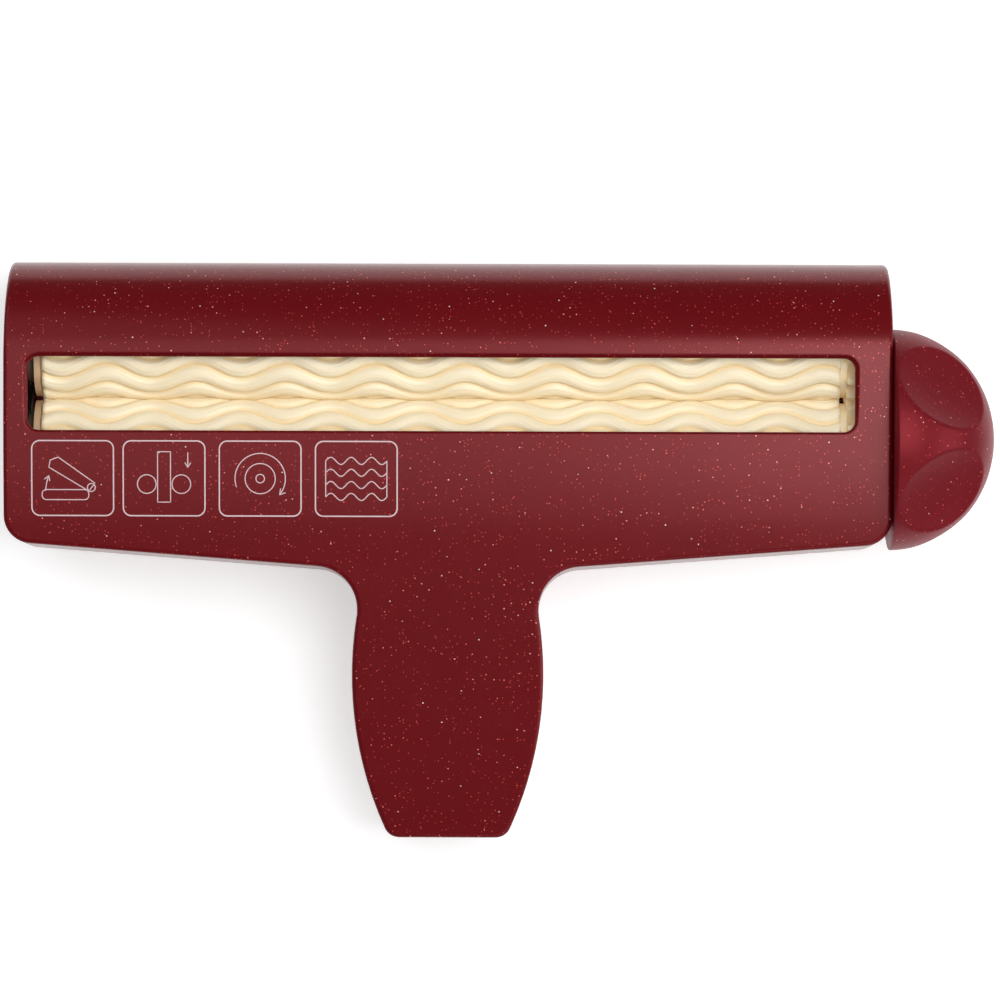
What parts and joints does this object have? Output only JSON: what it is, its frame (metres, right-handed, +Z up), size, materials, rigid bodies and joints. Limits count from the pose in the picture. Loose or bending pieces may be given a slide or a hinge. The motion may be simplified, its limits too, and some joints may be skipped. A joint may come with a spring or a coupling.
{
  "type": "paper crimper",
  "caption": "Hand-held paper crimper with hinged T-shaped handles, wave-ridged rollers behind a long window in the front, and a round dimpled knob at one end that turns them.",
  "frame": {"origin": "on the flat underside, under the middle of the whole part's length and depth", "axes": "+X along the rollers towards the knob, +Y from the handle's end towards the hinge side of the head, +Z up from the underside to the front face with the window"},
  "size_m": [0.2768, 0.1616, 0.0635],
  "materials": {
    "top_shell": "dark red with fine glitter",
    "lower_shell": "dark red with fine glitter",
    "bearing_plate": "moulded matte black",
    "roller": "moulded satin cream",
    "gear": "moulded satin cream",
    "steel": "bright drawn steel",
    "bush": "self-lubricating off-white",
    "knob": "dark red with fine glitter"
  },
  "bodies": {
    "lower": {"lower_handle": "lower_shell", "left_drive_bracket": "bearing_plate", "right_drive_bracket": "bearing_plate", "left_drive_bush": "bush", "right_drive_bush": "bush", "left_hinge_pin": "steel", "right_hinge_pin": "steel", "bracket_screws": "steel"},
    "top": {"top_handle": "top_shell", "left_roller_cradle": "bearing_plate", "right_roller_cradle": "bearing_plate", "left_driven_bush": "bush", "right_driven_bush": "bush", "cradle_screws": "steel"},
    "drive": {"drive_roller": "roller", "drive_roller_cap": "roller", "drive_gear": "gear", "drive_shaft": "steel", "knob": "knob"},
    "driven": {"driven_roller": "roller", "driven_roller_cap": "roller", "driven_gear": "gear", "driven_shaft": "steel"}
  },
  "joints": [
    {"name": "top_handle_hinge", "type": "hinge", "parent": "lower", "child": "top", "pos_m": [-0.01475, 0.05815, 0.007], "axis": [-1, 0, 0], "range_deg": [0, 25]},
    {"name": "knob_spin", "type": "hinge", "parent": "lower", "child": "drive", "pos_m": [-0.01475, 0.03115, 0.0325], "axis": [1, 0, 0], "continuous": true},
    {"name": "driven_spin", "type": "hinge", "parent": "top", "child": "driven", "pos_m": [-0.01475, 0.05315, 0.0325], "axis": [1, 0, 0], "continuous": true}
  ],
  "couplings": [
    {"joint": "driven_spin", "follows": "knob_spin", "ratio": -1}
  ]
}
